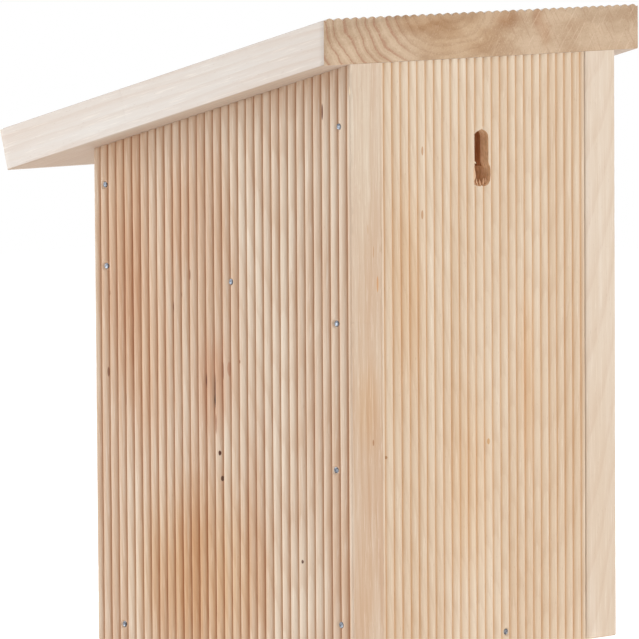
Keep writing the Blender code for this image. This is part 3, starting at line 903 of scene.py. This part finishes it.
def keyhole_shape():
    """Slot and ragged entry, counterclockwise seen from the front, as (x, z) places."""
    entry = smooth_run([(x * MM, z * MM) for x, z in RAGGED_ENTRY], 5)
    half_slot = KEYHOLE_SLOT_WIDTH / 2
    shape = slot_cap(half_slot, SLOT_TOP) + [(-half_slot, SLOT_ROOT + 0.6 * MM)] + entry[::-1]
    shape += [(half_slot, SLOT_ROOT + 0.5 * MM)]
    return [(KEYHOLE_OFFSET + x, ENTRY_Z + z) for x, z in shape]


def undercut_shape():
    half_slot = KEYHOLE_SLOT_WIDTH / 2 + UNDERCUT_REACH
    shape = slot_cap(half_slot, SLOT_TOP) + [(-half_slot, 2.6 * MM), (half_slot, 5.2 * MM)]
    return [(KEYHOLE_OFFSET + x, ENTRY_Z + z) for x, z in shape]


keyhole_wall = bored_wood("keyhole_wall", BACK, rgb(238, 200, 160), rgb(220, 176, 134))
# Painted shade: the undercut wall is a darker copy of the keyhole wall.
undercut_painted_shade_wall = bored_wood("keyhole_undercut_painted_shade", BACK, rgb(206, 150, 106), rgb(180, 124, 82))
keyhole_root = REAR_Y - KEYHOLE_DEPTH
cut_out(back, prism("keyhole_cutter", keyhole_shape(), keyhole_root, REAR_Y + CUT_PAST_FACE, keyhole_wall))
undercut_root = keyhole_root - 0.3 * MM
undercut_front = REAR_Y - UNDERCUT_DEPTH
cut_out(back, prism("undercut_cutter", undercut_shape(), undercut_root, undercut_front, undercut_painted_shade_wall))


def scoop(board, middle, radii, wall):
    """Shallow bite out of a board's face, where the cutter ran out."""
    bite = bmesh.new()
    bmesh.ops.create_uvsphere(bite, u_segments=32, v_segments=20, radius=1.0)
    mesh = bpy.data.meshes.new("scoop_cutter")
    bmesh.ops.scale(bite, vec=radii, verts=bite.verts)
    bmesh.ops.translate(bite, vec=middle, verts=bite.verts)
    bite.to_mesh(mesh)
    bite.free()
    mesh.materials.append(wall)
    cut_out(board, placed("scoop_cutter", mesh))


torn_wall = bored_wood("torn_rim", BACK, rgb(226, 194, 160), rgb(212, 174, 136))
scoop(back, Vector((KEYHOLE_OFFSET + 3.1 * MM, REAR_Y - 0.3 * MM, ENTRY_Z - 0.4 * MM)),
      Vector((1.9 * MM, 1.9 * MM, 4.3 * MM)), torn_wall)


def slivers(name, board_node, material, fibres):
    """Torn fibres: thin three-sided spikes from a base to a tip."""
    points = []
    faces = []
    for base, tip, width in fibres:
        base = Vector(base)
        tip = Vector(tip)
        run = (tip - base).normalized()
        side = run.cross(Y_AXIS if abs(run.y) < 0.8 else X_AXIS).normalized()
        lift = run.cross(side)
        middle = base + (tip - base) * 0.55 + lift * width * 0.25
        start = len(points)
        for centre, size in ((base, width), (middle, width * 0.75)):
            for turn in range(5):
                angle = 2 * pi * turn / 5
                points.append(centre + size * (cos(angle) * side + 0.55 * sin(angle) * lift))
        points.append(tip)
        faces.append(tuple(start + i for i in range(5))[::-1])
        for i in range(5):
            j = (i + 1) % 5
            faces.append((start + i, start + j, start + 5 + j, start + 5 + i))
            faces.append((start + 5 + i, start + 5 + j, start + 10))
    mesh = bpy.data.meshes.new(name)
    mesh.from_pydata(points, [], faces)
    mesh.materials.append(material)
    piece = placed(name, mesh)
    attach(piece, body_of_node(board_node))


def fibre(x, y, z, dx, dy, dz, width):
    """One fibre in millimetres: its base, how far it runs, and its half width."""
    base = Vector((x, y, z)) * MM
    return base, base + Vector((dx, dy, dz)) * MM, width * MM


ENTRY_X_MM = KEYHOLE_OFFSET / MM
ENTRY_Z_MM = ENTRY_Z / MM
brown_fibre = bored_wood("brown_fibre", BACK, rgb(226, 184, 146), rgb(198, 150, 110))
slivers("torn_keyhole_fibres", "back_panel", brown_fibre, [
    fibre(ENTRY_X_MM + 1.9, REAR_FACE_Y - 2.2, ENTRY_Z_MM - 5.0, -0.7, -1.2, 2.4, 0.85),
    fibre(ENTRY_X_MM + 0.5, REAR_FACE_Y - 2.2, ENTRY_Z_MM - 5.0, -0.7, -1.4, 3.2, 0.75),
    fibre(ENTRY_X_MM - 1.0, REAR_FACE_Y - 2.0, ENTRY_Z_MM - 5.2, -0.5, -1.0, 2.9, 0.70),
    fibre(ENTRY_X_MM - 2.3, REAR_FACE_Y - 1.8, ENTRY_Z_MM - 4.9, -0.9, -0.6, 3.2, 0.60),
    fibre(ENTRY_X_MM - 3.4, REAR_FACE_Y - 1.8, ENTRY_Z_MM - 4.1, -0.7, -0.3, 2.6, 0.50),
])
pale_fibre = bored_wood("pale_fibre", BACK, rgb(240, 224, 190), rgb(230, 206, 168))
slivers("torn_slot_fibres", "back_panel", pale_fibre, [
    fibre(ENTRY_X_MM + 1.9, REAR_FACE_Y - 0.9, ENTRY_Z_MM + 17.3, -2.0, 0.1, 0.6, 0.40),
    fibre(ENTRY_X_MM + 3.5, REAR_FACE_Y - 1.0, ENTRY_Z_MM + 4.9, -1.3, -0.1, -0.9, 0.36),
    fibre(ENTRY_X_MM + 1.2, REAR_FACE_Y - 0.5, ENTRY_Z_MM - 5.3, 0.9, 0.1, -2.2, 0.34),
    fibre(ENTRY_X_MM - 2.4, REAR_FACE_Y - 0.8, ENTRY_Z_MM - 5.1, 0.3, 0.1, -1.6, 0.30),
])

corner_fibre = long_grain("corner_fibre", SIDE_RIGHT, rgb(236, 216, 186), rgb(222, 194, 158),
                          rgb(255, 255, 255), 5.0, rings=0.0)
slivers("torn_corner_fibres", "side_board_right", corner_fibre, [
    fibre(SIDE_FACE_X - 0.7, REAR_FACE_Y - 0.5, 226.0, 0.45, 0.05, 4.6, 0.42),
    fibre(SIDE_FACE_X - 0.8, REAR_FACE_Y - 0.6, 222.0, 0.55, 0.10, 3.4, 0.36),
    fibre(SIDE_FACE_X - 0.9, REAR_FACE_Y - 0.5, 216.0, 0.50, 0.05, 3.8, 0.30),
    fibre(SIDE_FACE_X - 0.8, REAR_FACE_Y - 0.5, 196.5, 0.40, 0.05, 3.0, 0.28),
    fibre(SIDE_FACE_X - 0.8, REAR_FACE_Y - 0.5, 181.0, 0.40, 0.05, 2.6, 0.26),
])


entrance_wall = bored_wood("entrance_wall", DOOR, rgb(222, 186, 146), rgb(192, 148, 106))
entrance_z = PIVOT_Z - ENTRANCE_DROP
circle = []
for i in range(96):
    angle = 2 * pi * i / 96
    circle.append((ENTRANCE_RADIUS * cos(angle), entrance_z + ENTRANCE_RADIUS * sin(angle)))
door_back = FRONT_Y + BOARD + CUT_PAST_FACE
cut_out(door, prism("entrance_cutter", circle, FRONT_Y - CUT_PAST_FACE, door_back, entrance_wall))


# ---------------------------------------------------------------- studio
FLOOR_REACH = 1.6
FLOOR_GLOW = 0.85
ROOM_LIGHT = 0.33
AIM = Vector((0, 0, 0.13))
BOX_DISTANCE = 1.5
BOX_SIZE = (1.0, 1.8)
VIEW_YAW = radians(44.86)
VIEW_PITCH = radians(-4.98)
VIEW_ROLL = radians(-0.384)
LENS = 375.18
EYE = Vector((HALF_BODY + 1.8349, REAR_Y + 1.8263, ROOF_REST + 0.1260))


def white(name, glow):
    n = Nodes(name)
    n.shader.inputs["Base Color"].default_value = (0.5, 0.5, 0.5, 1)
    n.shader.inputs["Roughness"].default_value = 0.9
    n.shader.inputs["Specular IOR Level"].default_value = 0.0
    n.shader.inputs["Emission Color"].default_value = (1, 1, 1, 1)
    n.shader.inputs["Emission Strength"].default_value = glow
    return n.material


floor_mesh = bpy.data.meshes.new("studio_floor")
corners = [(-FLOOR_REACH, -FLOOR_REACH, 0), (FLOOR_REACH, -FLOOR_REACH, 0), (FLOOR_REACH, FLOOR_REACH, 0),
           (-FLOOR_REACH, FLOOR_REACH, 0)]
floor_mesh.from_pydata(corners, [], [(0, 1, 2, 3)])
floor_mesh.materials.append(white("studio_white", FLOOR_GLOW))
studio_floor = placed("studio_floor", floor_mesh)

world = bpy.data.worlds.new("studio")
bpy.context.scene.world = world
world.use_nodes = True
surround = world.node_tree.nodes["Background"]
surround.inputs["Color"].default_value = (1.0, 1.0, 1.0, 1)
seen = world.node_tree.nodes.new("ShaderNodeLightPath")
strength = world.node_tree.nodes.new("ShaderNodeMapRange")
strength.inputs["To Min"].default_value = ROOM_LIGHT
strength.inputs["To Max"].default_value = 1.0
world.node_tree.links.new(seen.outputs["Is Camera Ray"], strength.inputs["Value"])
world.node_tree.links.new(strength.outputs["Result"], surround.inputs["Strength"])

bpy.context.scene.view_settings.view_transform = "Standard"

forward = Vector((-sin(VIEW_YAW) * cos(VIEW_PITCH), -cos(VIEW_YAW) * cos(VIEW_PITCH), sin(VIEW_PITCH)))
right = Vector((-cos(VIEW_YAW), sin(VIEW_YAW), 0))
up = right.cross(forward)


def softbox(name, direction, distance, size, power, tint=(1, 1, 1)):
    """Rectangular light at a distance from the middle of the box, turned towards it."""
    light = bpy.data.lights.new(name, "AREA")
    light.shape = "RECTANGLE"
    light.size, light.size_y = size
    light.energy = power
    light.color = tint
    made = placed(name, light)
    made.location = AIM + direction.normalized() * distance
    made.rotation_mode = "QUATERNION"
    made.rotation_quaternion = (-direction).to_track_quat("-Z", "Y")


softbox("left_box", -right + 0.2 * Z_AXIS, BOX_DISTANCE, BOX_SIZE, 23.0, (0.88, 0.95, 1.0))
right_side = 0.9 * right - 0.4 * forward + 0.2 * Z_AXIS
softbox("right_box", right_side, BOX_DISTANCE, BOX_SIZE, 12.5, (0.95, 0.98, 1.0))
softbox("top_box", Z_AXIS - 0.25 * forward, 1.6, (1.2, 1.2), 6.5)

camera_data = bpy.data.cameras.new("camera")
camera_data.sensor_width = 36.0
camera_data.lens = LENS
camera_data.clip_start = 0.1
camera_data.clip_end = 30.0
camera = placed("camera", camera_data)
camera_x = cos(VIEW_ROLL) * right + sin(VIEW_ROLL) * up
camera_y = -sin(VIEW_ROLL) * right + cos(VIEW_ROLL) * up
axes = Matrix((camera_x, camera_y, -forward)).transposed().to_4x4()
camera.matrix_world = Matrix.Translation(EYE) @ axes
bpy.context.scene.camera = camera
